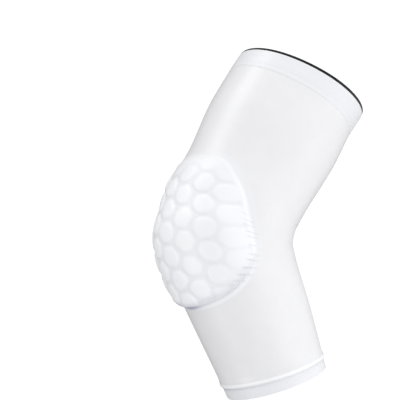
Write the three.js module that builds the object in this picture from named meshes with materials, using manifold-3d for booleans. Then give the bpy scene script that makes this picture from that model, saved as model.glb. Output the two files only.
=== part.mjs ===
// Elbow compression sleeve with a honeycomb pad, bent as it is worn.
// Millimetres, +Z up. The bend lies in the XZ plane: the point of the elbow faces -X and the crook faces +X.
// The origin is on the sleeve's centreline, at the middle of the bend.

import * as THREE from 'three';
import { mergeVertices } from 'three/addons/utils/BufferGeometryUtils.js';
import Module from 'manifold-3d';

// Run of the sleeve along its centreline
const UPPER_LENGTH = 136;
const LOWER_LENGTH = 130;
const BEND_RADIUS = 62;
const UPPER_LEAN = THREE.MathUtils.degToRad(29.9);
const LOWER_LEAN = THREE.MathUtils.degToRad(19.5);

// Outside sizes of the tube: depth in the plane of the bend, width across it
const UPPER_DEPTH = 114;
const UPPER_WIDTH = 100;
const ELBOW_DEPTH = 111;
const ELBOW_WIDTH = 98;
const LOWER_DEPTH = 86;
const LOWER_WIDTH = 76;

// Cloth
const KNIT_WALL = 1;
const CLEARANCE = 0.3;

// Hems: a folded edge, its outer leaf in line with the tube and its inner leaf lapped under the tube's end
const UPPER_HEM_HEIGHT = 15.5;
const LOWER_HEM_HEIGHT = 11;
const HEM_LAP = 4;
const UPPER_HEM_PROUD = 0.3;
const LOWER_HEM_PROUD = 0.1;
const SEAM_RIDGE_HEIGHT = 2;
const SEAM_RIDGE_PROUD = 1;

// Elastic grip band inside the upper hem, turned out over the rim
const GRIP_WALL = 0.9;
const GRIP_HEIGHT = 14;
const GRIP_LIP = 1.7;
const GRIP_LIP_INSET = 0.2;

// Pad: sizes measured round and along the sleeve's back
const PAD_WIDTH = 130;
const PAD_HEIGHT = 129;
const PAD_THICKNESS = 3.6;
const PAD_EDGE = 1.8;
const PAD_EDGE_WIDTH = 3.5;
const PAD_DROP = 8.8;
const PAD_OFFSET = 2.2;
const PAD_TURN = THREE.MathUtils.degToRad(8);
const PAD_FOLLOW = 0.68;

// Raised cells of the pad, on a regular hexagonal pitch
const CELL_PITCH = 18.9;
const CELL_GROOVE = 2.6;
const CELL_RISE = 2.4;
const CELL_CROWN = 0.9;
const CELL_DRAFT = 1.3;
const CELL_ROOT = 1.6;
const CELL_BORDER = 5;

// Fineness of the faceting
const ROUND_STEPS = 42;
const STRAIGHT_STEPS = 7;
const BEND_STEPS = 8;
const OUTLINE_STEPS = 56;
const PAD_RINGS = 10;

// Sections of the tube. at: share of the length from the elbow to that mouth, up being positive.
// depth, width, shift: shares of the named size, shift being the section's move toward the crook.
const UPPER = { depth: UPPER_DEPTH, width: UPPER_WIDTH };
const ELBOW = { depth: ELBOW_DEPTH, width: ELBOW_WIDTH };
const LOWER = { depth: LOWER_DEPTH, width: LOWER_WIDTH };
const SECTIONS = [
  { at: -1.00, of: LOWER, depth: 1.000, width: 1.000, shift: 0.058 },
  { at: -0.62, of: LOWER, depth: 1.110, width: 1.106, shift: 0.011 },
  { at: -0.30, of: ELBOW, depth: 0.917, width: 0.914, shift: -0.029 },
  { at: 0.00, of: ELBOW, depth: 1.000, width: 1.000, shift: -0.050 },
  { at: 0.30, of: ELBOW, depth: 0.986, width: 0.983, shift: -0.021 },
  { at: 0.62, of: UPPER, depth: 1.007, width: 1.010, shift: -0.002 },
  { at: 0.88, of: UPPER, depth: 0.987, width: 0.990, shift: 0.015 },
  { at: 1.00, of: UPPER, depth: 1.000, width: 1.000, shift: 0.042 },
];

// Outline of the pad's right half from its top to its bottom, in shares of half its width and half its height
const PAD_OUTLINE = [
  { across: 0.00, along: 1.00 },
  { across: 0.32, along: 1.00 },
  { across: 0.60, along: 0.94 },
  { across: 0.78, along: 0.73 },
  { across: 0.92, along: 0.48 },
  { across: 0.99, along: 0.20 },
  { across: 1.00, along: -0.12 },
  { across: 0.94, along: -0.42 },
  { across: 0.80, along: -0.72 },
  { across: 0.54, along: -0.87 },
  { across: 0.27, along: -0.96 },
  { across: 0.00, along: -1.00 },
];

const COLOURS = { knit: 0xf4f4f6, elastic: 0x17181a };

const wasm = await Module();
wasm.setup();

// Value of one column of the section table at a share of the length, on a smooth curve through the rows
function tableValue(share, column) {
  const rows = SECTIONS.map((row) => ({
    at: row.at,
    value: column === 'width' ? row.width * row.of.width : row[column] * row.of.depth,
  }));
  const last = rows.length - 1;
  const slope = (i) => {
    const before = rows[Math.max(i - 1, 0)];
    const after = rows[Math.min(i + 1, last)];
    return (after.value - before.value) / (after.at - before.at);
  };
  const above = rows.findIndex((row) => row.at >= share);
  const high = above < 1 ? Math.max(above, 0) || 1 : above;
  const from = rows[high - 1];
  const to = rows[high];
  const span = to.at - from.at;
  const t = THREE.MathUtils.clamp((share - from.at) / span, 0, 1);
  const rise = t * t * (3 - 2 * t);
  const leaving = t * (1 - t) * (1 - t) * span * slope(high - 1);
  const arriving = t * t * (1 - t) * span * slope(high);
  return from.value + (to.value - from.value) * rise + leaving - arriving;
}

// Section of the tube at a run along the centreline: its two half sizes and its shift toward the crook
function sectionAt(run) {
  const share = THREE.MathUtils.clamp(run / (run > 0 ? UPPER_LENGTH : LOWER_LENGTH), -1, 1);
  return {
    depth: tableValue(share, 'depth') / 2,
    width: tableValue(share, 'width') / 2,
    shift: tableValue(share, 'shift'),
  };
}

// Half of the arc that the centreline makes round the bend
const HALF_ARC = BEND_RADIUS * (UPPER_LEAN + LOWER_LEAN) / 2;

// Point of the centreline in the XZ plane and its lean toward +X, at a run from the middle of the bend
function centreAt(run) {
  const middle = (UPPER_LEAN - LOWER_LEAN) / 2;
  const onArc = (lean) => new THREE.Vector2(
    BEND_RADIUS * (Math.cos(middle) - Math.cos(lean)),
    BEND_RADIUS * (Math.sin(lean) - Math.sin(middle)),
  );
  const bent = THREE.MathUtils.clamp(run, -HALF_ARC, HALF_ARC);
  const lean = middle + bent / BEND_RADIUS;
  const straight = new THREE.Vector2(Math.sin(lean), Math.cos(lean)).multiplyScalar(run - bent);
  return { point: onArc(lean).add(straight), lean };
}

// Point of the tube: run along the centreline, angle round it from the elbow's back toward -Y,
// and distance out from the cloth's outer face
function tubePoint(run, angle, out) {
  const { depth, width, shift } = sectionAt(run);
  const { point, lean } = centreAt(run);
  const normal = new THREE.Vector2(-width * Math.cos(angle), -depth * Math.sin(angle)).normalize();
  const toCrook = -depth * Math.cos(angle) + shift + normal.x * out;
  const across = -width * Math.sin(angle) + normal.y * out;
  return new THREE.Vector3(
    point.x + Math.cos(lean) * toCrook,
    across,
    point.y - Math.sin(lean) * toCrook,
  );
}

// Closed geometry from points and triangles, turned so that its faces point out
function closedGeometry(points, triangles) {
  let volume = 0;
  for (const [a, b, c] of triangles) {
    volume += points[a].dot(new THREE.Vector3().crossVectors(points[b], points[c]));
  }
  const index = triangles.flatMap(([a, b, c]) => (volume < 0 ? [a, c, b] : [a, b, c]));
  const geometry = new THREE.BufferGeometry();
  geometry.setAttribute('position', new THREE.Float32BufferAttribute(points.flatMap((p) => p.toArray()), 3));
  geometry.setIndex(index);
  return geometry;
}

// Ring of the tube: a closed profile of { run, out } rows, swept once round the sleeve
function sweptRing(profile) {
  const points = [];
  const triangles = [];
  for (let i = 0; i < ROUND_STEPS; i += 1) {
    const angle = (i / ROUND_STEPS) * 2 * Math.PI;
    profile.forEach(({ run, out }) => points.push(tubePoint(run, angle, out)));
  }
  const at = (i, j) => (i % ROUND_STEPS) * profile.length + (j % profile.length);
  for (let i = 0; i < ROUND_STEPS; i += 1) {
    for (let j = 0; j < profile.length; j += 1) {
      triangles.push([at(i, j), at(i + 1, j), at(i + 1, j + 1)]);
      triangles.push([at(i, j), at(i + 1, j + 1), at(i, j + 1)]);
    }
  }
  return closedGeometry(points, triangles);
}

// Seams, where the tube's cloth meets its hems
const UPPER_SEAM = UPPER_LENGTH - GRIP_LIP - CLEARANCE - UPPER_HEM_HEIGHT;
const LOWER_SEAM = LOWER_LENGTH - LOWER_HEM_HEIGHT;

// Runs of the body's rings: even steps in each straight and round the bend
function bodyRuns() {
  const stretches = [
    { from: -LOWER_SEAM + CLEARANCE / 2, to: -HALF_ARC, steps: STRAIGHT_STEPS },
    { from: -HALF_ARC, to: HALF_ARC, steps: BEND_STEPS },
    { from: HALF_ARC, to: UPPER_SEAM - CLEARANCE / 2, steps: STRAIGHT_STEPS },
  ];
  const runs = [stretches[0].from];
  for (const { from, to, steps } of stretches) {
    for (let i = 1; i <= steps; i += 1) runs.push(from + ((to - from) * i) / steps);
  }
  return runs;
}

function sleeveBody() {
  const runs = bodyRuns();
  const outer = runs.map((run) => ({ run, out: 0 }));
  const inner = runs.map((run) => ({ run, out: -KNIT_WALL })).reverse();
  return sweptRing([...outer, ...inner]);
}

// Folded hem. side is 1 for the upper mouth and -1 for the lower one; ridge is the rolled seam over its start
function hem({ side, seam, height, proud, ridgeHeight, ridgeProud }) {
  const inner = -2 * KNIT_WALL - CLEARANCE;
  const roll = KNIT_WALL / 2;
  const rows = [
    { along: CLEARANCE / 2, out: ridgeProud * 0.4 },
    { along: CLEARANCE / 2 + ridgeHeight * 0.3, out: ridgeProud },
    { along: CLEARANCE / 2 + ridgeHeight * 0.7, out: ridgeProud },
    { along: CLEARANCE / 2 + ridgeHeight, out: proud },
    { along: height - roll, out: proud },
    { along: height, out: proud - roll },
    { along: height, out: inner + roll },
    { along: height - roll, out: inner },
    { along: -HEM_LAP, out: inner },
    { along: -HEM_LAP, out: inner + KNIT_WALL },
    { along: CLEARANCE / 2, out: inner + KNIT_WALL },
  ];
  return sweptRing(rows.map(({ along, out }) => ({ run: side * (seam + along), out })));
}

// Grip band: a strip against the hem's inner leaf, its edge turned out over the hem's rim
function gripBand() {
  const back = -2 * KNIT_WALL - 2 * CLEARANCE;
  const rim = UPPER_LENGTH - GRIP_LIP;
  const face = UPPER_HEM_PROUD - GRIP_LIP_INSET;
  return sweptRing([
    { run: UPPER_LENGTH - GRIP_HEIGHT, out: back },
    { run: rim, out: back },
    { run: rim, out: face },
    { run: UPPER_LENGTH - GRIP_LIP * 0.35, out: face },
    { run: UPPER_LENGTH, out: face - GRIP_LIP * 0.35 },
    { run: UPPER_LENGTH, out: back - GRIP_WALL / 2 },
    { run: UPPER_LENGTH - GRIP_WALL / 2, out: back - GRIP_WALL },
    { run: UPPER_LENGTH - GRIP_HEIGHT, out: back - GRIP_WALL },
  ]);
}

// Point of the pad: across and along from its centre, as on the flat, and out from the sleeve's outer face.
// Its rows spread over the outside of the bend, less so toward the arm's side.
function padPoint(across, along, out) {
  const round = PAD_OFFSET + across * Math.cos(PAD_TURN) - along * Math.sin(PAD_TURN);
  const up = across * Math.sin(PAD_TURN) + along * Math.cos(PAD_TURN) - PAD_DROP;
  const angle = round / (ELBOW_WIDTH / 2 + KNIT_WALL);
  const { depth, shift } = sectionAt(0);
  const reach = depth * (1 - PAD_FOLLOW + PAD_FOLLOW * Math.cos(angle)) - shift;
  const spread = (BEND_RADIUS + reach) / BEND_RADIUS;
  const bent = THREE.MathUtils.clamp(up, -HALF_ARC * spread, HALF_ARC * spread);
  return tubePoint(bent / spread + up - bent, angle, out);
}

// Closed outline of the pad on the flat, set in from its edge by a distance
function padOutline(inset) {
  const half = { across: PAD_WIDTH / 2 - inset, along: PAD_HEIGHT / 2 - inset };
  const right = PAD_OUTLINE.map((row) => new THREE.Vector3(row.across * half.across, row.along * half.along, 0));
  const left = right.slice(1, -1).reverse().map((p) => new THREE.Vector3(-p.x, p.y, 0));
  const curve = new THREE.CatmullRomCurve3([...right, ...left], true, 'centripetal');
  return curve.getSpacedPoints(OUTLINE_STEPS).slice(0, OUTLINE_STEPS);
}

// Rings that fill an outline on the flat, from its middle out, with fewer points in the smaller ones
function filledRings(outline) {
  return Array.from({ length: PAD_RINGS }, (_, i) => {
    const share = (i + 1) / PAD_RINGS;
    const skip = share > 0.55 ? 1 : share > 0.25 ? 2 : 4;
    return outline.filter((_, j) => j % skip === 0).map((p) => p.clone().multiplyScalar(share));
  });
}

// Solid of the pad between two faces, from rows of { ring, top, foot } in order from its middle to its edge:
// a ring of points on the flat, and the heights of the two faces there
function padSolid(rows) {
  const points = [padPoint(0, 0, rows[0].top), padPoint(0, 0, rows[0].foot)];
  const triangles = [];
  const starts = rows.map(({ ring, top, foot }) => {
    const start = points.length;
    ring.forEach((p) => points.push(padPoint(p.x, p.y, top), padPoint(p.x, p.y, foot)));
    return start;
  });
  const at = (row, face, i) => starts[row] + 2 * (i % rows[row].ring.length) + face;
  const facing = (face, [a, b, c]) => (face === 0 ? [a, b, c] : [a, c, b]);
  const last = rows.length - 1;
  for (const face of [0, 1]) {
    for (let i = 0; i < rows[0].ring.length; i += 1) {
      triangles.push(facing(face, [face, at(0, face, i), at(0, face, i + 1)]));
    }
    for (let row = 0; row < last; row += 1) {
      const split = rows[row + 1].ring.length / rows[row].ring.length;
      for (let i = 0; i < rows[row].ring.length; i += 1) {
        const near = at(row, face, i);
        const next = at(row, face, i + 1);
        const far = (k) => at(row + 1, face, i * split + k);
        for (let k = 0; k < split; k += 1) triangles.push(facing(face, [k < 1 ? near : next, far(k), far(k + 1)]));
        triangles.push(facing(face, [near, far(1), next]));
      }
    }
  }
  for (let i = 0; i < rows[last].ring.length; i += 1) {
    triangles.push([at(last, 0, i), at(last, 1, i), at(last, 1, i + 1)]);
    triangles.push([at(last, 0, i), at(last, 1, i + 1), at(last, 0, i + 1)]);
  }
  return closedGeometry(points, triangles);
}

// Foam sheet under the cells, its edge rounded down to the sleeve
function padSheet() {
  const foot = CLEARANCE;
  const face = filledRings(padOutline(PAD_EDGE_WIDTH)).map((ring) => ({ ring, top: foot + PAD_THICKNESS, foot }));
  return padSolid([...face, { ring: padOutline(0), top: foot + PAD_EDGE, foot }]);
}

// Block that the cells are trimmed to, so that the ones at the edge slope down to the border
function padBorder() {
  const foot = CLEARANCE + CELL_ROOT / 2;
  const slope = CELL_CROWN + CELL_RISE;
  const top = CLEARANCE + PAD_THICKNESS + CELL_RISE + CELL_CROWN;
  const face = filledRings(padOutline(CELL_BORDER + CELL_DRAFT)).map((ring) => ({ ring, top, foot }));
  return padSolid([...face, { ring: padOutline(CELL_BORDER), top: top - slope, foot }]);
}

// One raised cell: a crowned hexagon with drafted sides, rooted in the sheet
function padCell(centre) {
  const corner = (CELL_PITCH - CELL_GROOVE) / Math.sqrt(3);
  const root = CLEARANCE + CELL_ROOT;
  const top = CLEARANCE + PAD_THICKNESS + CELL_RISE;
  const levels = [
    { radius: corner, out: root },
    { radius: corner, out: CLEARANCE + PAD_THICKNESS + CELL_RISE / 3 },
    { radius: corner - CELL_DRAFT, out: top },
  ];
  const points = [padPoint(centre.x, centre.y, root), padPoint(centre.x, centre.y, top + CELL_CROWN)];
  for (const { radius, out } of levels) {
    for (let i = 0; i < 6; i += 1) {
      const turn = (i * Math.PI) / 3;
      points.push(padPoint(centre.x + radius * Math.cos(turn), centre.y + radius * Math.sin(turn), out));
    }
  }
  const at = (level, i) => 2 + level * 6 + (i % 6);
  const triangles = [];
  for (let i = 0; i < 6; i += 1) {
    triangles.push([0, at(0, i + 1), at(0, i)]);
    triangles.push([1, at(levels.length - 1, i), at(levels.length - 1, i + 1)]);
    for (let level = 0; level < levels.length - 1; level += 1) {
      triangles.push([at(level, i), at(level, i + 1), at(level + 1, i + 1)]);
      triangles.push([at(level, i), at(level + 1, i + 1), at(level + 1, i)]);
    }
  }
  return closedGeometry(points, triangles);
}

// Centres of the cells that lie inside the border, in columns half a pitch out of step with their neighbours
function cellCentres() {
  const column = (CELL_PITCH * Math.sqrt(3)) / 2;
  const border = padOutline(CELL_BORDER);
  const inside = (p) => {
    let within = false;
    border.forEach((a, i) => {
      const b = border[(i + 1) % border.length];
      const crosses = (a.y > p.y) !== (b.y > p.y);
      if (crosses && p.x < a.x + ((b.x - a.x) * (p.y - a.y)) / (b.y - a.y)) within = !within;
    });
    return within;
  };
  const columns = Math.ceil(PAD_WIDTH / 2 / column);
  const rows = Math.ceil(PAD_HEIGHT / 2 / CELL_PITCH);
  const centres = [];
  for (let i = -columns; i <= columns; i += 1) {
    for (let j = -rows; j <= rows; j += 1) {
      const centre = new THREE.Vector2(i * column, (j + (i % 2 === 0 ? 0 : 0.5)) * CELL_PITCH);
      if (inside(centre)) centres.push(centre);
    }
  }
  return centres;
}

// Closed geometry to a solid for joining, and back
function toSolid(geometry) {
  const merged = mergeVertices(geometry);
  return new wasm.Manifold(new wasm.Mesh({
    numProp: 3,
    vertProperties: Float32Array.from(merged.attributes.position.array),
    triVerts: Uint32Array.from(merged.index.array),
  }));
}

function toGeometry(solid) {
  const mesh = solid.getMesh();
  const geometry = new THREE.BufferGeometry();
  geometry.setAttribute('position', new THREE.BufferAttribute(Float32Array.from(mesh.vertProperties), 3));
  geometry.setIndex(new THREE.BufferAttribute(Uint32Array.from(mesh.triVerts), 1));
  return geometry;
}

function honeycombPad() {
  const border = toSolid(padBorder());
  const cells = cellCentres().map((centre) => toSolid(padCell(centre)).intersect(border));
  return toGeometry(cells.reduce((pad, cell) => pad.add(cell), toSolid(padSheet())));
}

function material(colour, roughness) {
  return new THREE.MeshStandardMaterial({ color: colour, roughness, metalness: 0 });
}

const pieces = [
  { name: 'sleeve_body', geometry: sleeveBody(), material: material(COLOURS.knit, 0.75) },
  {
    name: 'upper_hem',
    geometry: hem({
      side: 1,
      seam: UPPER_SEAM,
      height: UPPER_HEM_HEIGHT,
      proud: UPPER_HEM_PROUD,
      ridgeHeight: SEAM_RIDGE_HEIGHT,
      ridgeProud: UPPER_HEM_PROUD,
    }),
    material: material(COLOURS.knit, 0.75),
  },
  {
    name: 'lower_hem',
    geometry: hem({
      side: -1,
      seam: LOWER_SEAM,
      height: LOWER_HEM_HEIGHT,
      proud: LOWER_HEM_PROUD,
      ridgeHeight: SEAM_RIDGE_HEIGHT,
      ridgeProud: SEAM_RIDGE_PROUD,
    }),
    material: material(COLOURS.knit, 0.75),
  },
  { name: 'grip_band', geometry: gripBand(), material: material(COLOURS.elastic, 0.6) },
  { name: 'honeycomb_pad', geometry: honeycombPad(), material: material(COLOURS.knit, 0.7) },
];

const sleeve = new THREE.Group();
for (const { name, geometry, material: finish } of pieces) {
  geometry.computeVertexNormals();
  const mesh = new THREE.Mesh(geometry, finish);
  mesh.name = name;
  sleeve.add(mesh);
}

export default sleeve;
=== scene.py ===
"""Looks of the padded elbow sleeve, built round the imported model.

The sleeve is a bent tube of stretch knit with a folded hem at each mouth, a dark elastic band turned out over the
upper rim, and a foam pad of raised hexagons over the point of the elbow. It is held up over a plain pale floor.
Lengths are metres unless a name ends in _mm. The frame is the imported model's own: the elbow's back faces -X, the
crook +X, and the origin lies on the sleeve's centreline at the middle of the bend.
"""

from __future__ import annotations

import logging
import math
from collections.abc import Callable
from dataclasses import dataclass
from enum import Enum
from functools import lru_cache

import bmesh
import bpy
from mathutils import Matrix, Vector, noise

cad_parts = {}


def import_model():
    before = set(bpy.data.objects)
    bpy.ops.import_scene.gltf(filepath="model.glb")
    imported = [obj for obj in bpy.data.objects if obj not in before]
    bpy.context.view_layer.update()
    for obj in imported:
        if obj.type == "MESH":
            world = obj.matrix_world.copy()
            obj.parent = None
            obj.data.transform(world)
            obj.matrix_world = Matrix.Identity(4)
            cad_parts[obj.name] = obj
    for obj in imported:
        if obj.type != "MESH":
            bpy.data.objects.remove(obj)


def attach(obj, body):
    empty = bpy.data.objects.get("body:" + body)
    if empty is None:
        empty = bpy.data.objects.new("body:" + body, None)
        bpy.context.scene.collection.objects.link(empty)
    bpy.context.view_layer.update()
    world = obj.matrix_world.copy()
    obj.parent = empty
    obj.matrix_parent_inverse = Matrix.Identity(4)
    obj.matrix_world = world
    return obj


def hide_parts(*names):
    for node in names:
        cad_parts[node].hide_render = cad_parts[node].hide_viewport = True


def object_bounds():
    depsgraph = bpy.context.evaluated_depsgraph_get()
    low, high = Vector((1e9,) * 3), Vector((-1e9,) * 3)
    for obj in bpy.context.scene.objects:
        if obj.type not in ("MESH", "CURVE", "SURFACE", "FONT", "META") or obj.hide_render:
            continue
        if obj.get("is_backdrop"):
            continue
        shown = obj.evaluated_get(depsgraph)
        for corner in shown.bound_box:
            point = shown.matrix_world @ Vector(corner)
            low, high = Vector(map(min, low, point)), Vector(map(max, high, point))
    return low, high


LOG = logging.getLogger("elbow_sleeve")
BODY = "root"
MM = 0.001
FULL_TURN = 2 * math.pi
# Mean girth of the worn sleeve, which the cloth coordinates run over.
WORN_GIRTH = 314.6 * MM
# Heights of the stitch rows over each hem's seam.
UPPER_NEEDLES = (3.4 * MM, 11.6 * MM)
LOWER_NEEDLE = 6.4 * MM


def smooth_step(value: float) -> float:
    """Eases 0 to 1 with level ends.

    Args:
        value: Place along the step; it is held between 0 and 1.

    Returns:
        The eased value, from 0 to 1.
    """
    held = min(max(value, 0.0), 1.0)
    return held * held * (3 - 2 * held)


def bump(distance: float, width: float) -> float:
    """Round hump of height 1 at no distance, about width wide."""
    return math.exp(-((distance / width) ** 2))


def mix(low: float, high: float, share: float) -> float:
    """Value at a share of the way from low to high."""
    return low + (high - low) * share


# Form of the sleeve


@dataclass(frozen=True)
class Girth:
    """Outside depth, in the plane of the bend, and width, across it, in millimetres."""

    depth_mm: float
    width_mm: float


UPPER = Girth(114, 100)
ELBOW = Girth(111, 98)
LOWER = Girth(86, 76)


@dataclass(frozen=True)
class Section:
    """One section of the tube.

    at is its share of the length from the elbow to that mouth, up being positive. The others are shares of the
    girth that it follows, shift being its move toward the crook.
    """

    at: float
    of: Girth
    depth: float
    width: float
    shift: float


SECTIONS = (
    Section(-1.00, LOWER, 1.000, 1.000, 0.058),
    Section(-0.62, LOWER, 1.110, 1.106, 0.011),
    Section(-0.30, ELBOW, 0.917, 0.914, -0.029),
    Section(0.00, ELBOW, 1.000, 1.000, -0.050),
    Section(0.30, ELBOW, 0.986, 0.983, -0.021),
    Section(0.62, UPPER, 1.016, 1.010, 0.003),
    Section(0.88, UPPER, 1.001, 0.990, 0.022),
    Section(1.00, UPPER, 1.000, 1.000, 0.042),
)


@dataclass(frozen=True)
class SleeveForm:
    """The bent tube that every piece lies on: its run, its bend and its sections."""

    upper_length: float = 136 * MM
    lower_length: float = 130 * MM
    bend_radius: float = 62 * MM
    upper_lean: float = math.radians(29.9)
    lower_lean: float = math.radians(19.5)
    knit_wall: float = 1.0 * MM
    clearance: float = 0.3 * MM
    upper_hem_height: float = 15.5 * MM
    lower_hem_height: float = 12.6 * MM
    grip_lip: float = 1.7 * MM
    wave_length: float = 95 * MM
    wave_height: float = 0.5 * MM

    @property
    def half_arc(self) -> float:
        """Half of the arc that the centreline makes round the bend."""
        return self.bend_radius * (self.upper_lean + self.lower_lean) / 2

    @property
    def upper_seam(self) -> float:
        """Run of the seam between the tube and its upper hem."""
        return self.upper_length - self.grip_lip - self.clearance - self.upper_hem_height

    @property
    def lower_seam(self) -> float:
        """Run of the seam between the tube and its lower hem, taken as positive."""
        return self.lower_length - self.lower_hem_height

    def centre(self, run: float) -> tuple[float, float, float]:
        """Centreline at a run from the middle of the bend.

        Args:
            run: Distance along the centreline, up being positive.

        Returns:
            X, Z and the lean toward +X there.
        """
        middle = (self.upper_lean - self.lower_lean) / 2
        bent = min(max(run, -self.half_arc), self.half_arc)
        lean = middle + bent / self.bend_radius
        straight = run - bent
        x = self.bend_radius * (math.cos(middle) - math.cos(lean)) + straight * math.sin(lean)
        z = self.bend_radius * (math.sin(lean) - math.sin(middle)) + straight * math.cos(lean)
        return x, z, lean

    @lru_cache(maxsize=4096)
    def section(self, run: float) -> tuple[float, float, float]:
        """Section of the tube's outer face.

        Args:
            run: Distance along the centreline.

        Returns:
            Half depth, half width and shift.
        """
        share = run / (self.upper_length if run > 0 else self.lower_length)
        share = min(max(share, SECTIONS[0].at), SECTIONS[-1].at)
        high = next(i for i, row in enumerate(SECTIONS) if row.at >= share and i > 0)
        return tuple(self._column(name, share, high) for name in ("depth", "width", "shift"))

    def _column(self, name: str, share: float, high: int) -> float:
        """One size of the section table at a share, on a smooth curve through its rows.

        Args:
            name: The column.
            share: Place along the table.
            high: Number of the first row past that place.

        Returns:
            The size in metres, halved where it is a girth.
        """
        last = len(SECTIONS) - 1

        def value(i: int) -> float:
            """Size at a row of the table."""
            row = SECTIONS[i]
            side = row.of.width_mm if name == "width" else row.of.depth_mm
            return getattr(row, name) * side * MM * (1.0 if name == "shift" else 0.5)

        def slope(i: int) -> float:
            """Slope at a row, from the rows on both sides of it."""
            before, after = max(i - 1, 0), min(i + 1, last)
            return (value(after) - value(before)) / (SECTIONS[after].at - SECTIONS[before].at)

        low = high - 1
        span = SECTIONS[high].at - SECTIONS[low].at
        t = (share - SECTIONS[low].at) / span
        eased = mix(value(low), value(high), t * t * (3 - 2 * t))
        return eased + span * t * (1 - t) * ((1 - t) * slope(low) - t * slope(high))

    def slack(self, run: float, angle: float) -> float:
        """Height of the cloth's long soft waves, which every piece on the sleeve follows."""
        around = Vector((math.cos(angle), math.sin(angle), run / self.wave_length))
        return self.wave_height * noise.noise(around * 1.35)

    def point(self, run: float, angle: float, out: float) -> Vector:
        """Point of the tube.

        Args:
            run: Distance along the centreline.
            angle: Turn round the tube from the elbow's back toward -Y.
            out: Distance out from the cloth's outer face.

        Returns:
            The place in the frame.
        """
        depth, width, shift = self.section(run)
        x, z, lean = self.centre(run)
        out += self.slack(run, angle)
        cosine, sine = math.cos(angle), math.sin(angle)
        length = math.hypot(width * cosine, depth * sine)
        to_crook = -depth * cosine + shift - width * cosine / length * out
        across = -width * sine - depth * sine / length * out
        return Vector((x + math.cos(lean) * to_crook, across, z - math.sin(lean) * to_crook))


FORM = SleeveForm()


def crook_share(angle: float) -> float:
    """How near an angle round the tube is to the crook's near side: 1 there, 0 across from it."""
    return 0.5 - 0.5 * math.cos(angle + math.radians(35))


def rim_lift(angle: float) -> float:
    """How far the upper rim rises over its even place: it is cut a little askew, highest at the crook."""
    return mix(0.5 * MM, 2.7 * MM, crook_share(angle))


def lower_seam_lean(angle: float) -> float:
    """How far the lower seam rises over its even place: it is sewn a little askew, highest at the elbow's side."""
    return 2.2 * MM * math.cos(angle - math.radians(30))


# Finishes


def linear(code: str, alpha: float = 1.0) -> tuple[float, float, float, float]:
    """Turns an sRGB hex colour to linear light.

    Args:
        code: Six hex digits.
        alpha: Opacity.

    Returns:
        Red, green, blue and alpha.
    """
    parts = [int(code[i : i + 2], 16) / 255 for i in (0, 2, 4)]
    red, green, blue = (c / 12.92 if c <= 0.04045 else ((c + 0.055) / 1.055) ** 2.4 for c in parts)
    return red, green, blue, alpha


def add_node(tree: bpy.types.NodeTree, kind: str, settings: dict | None = None, **inputs: object) -> bpy.types.Node:
    """Adds one shader node.

    Args:
        tree: The node tree that takes it.
        kind: The node's type name.
        settings: Properties of the node itself.
        **inputs: A value or an output socket for each named input, with _ for a space; in_N names input N.

    Returns:
        The new node.
    """
    node = tree.nodes.new(kind)
    for name, value in (settings or {}).items():
        setattr(node, name, value)
    for name, value in inputs.items():
        socket = node.inputs[int(name[3:])] if name.startswith("in_") else node.inputs[name.replace("_", " ")]
        if isinstance(value, bpy.types.NodeSocket):
            tree.links.new(value, socket)
        else:
            socket.default_value = value
    return node


def new_material(name: str) -> tuple[bpy.types.Material, bpy.types.NodeTree]:
    """Makes an empty node material.

    Args:
        name: The material's name.

    Returns:
        The material and its node tree.
    """
    material = bpy.data.materials.new(name)
    material.use_nodes = True
    material.node_tree.nodes.clear()
    return material, material.node_tree


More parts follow.
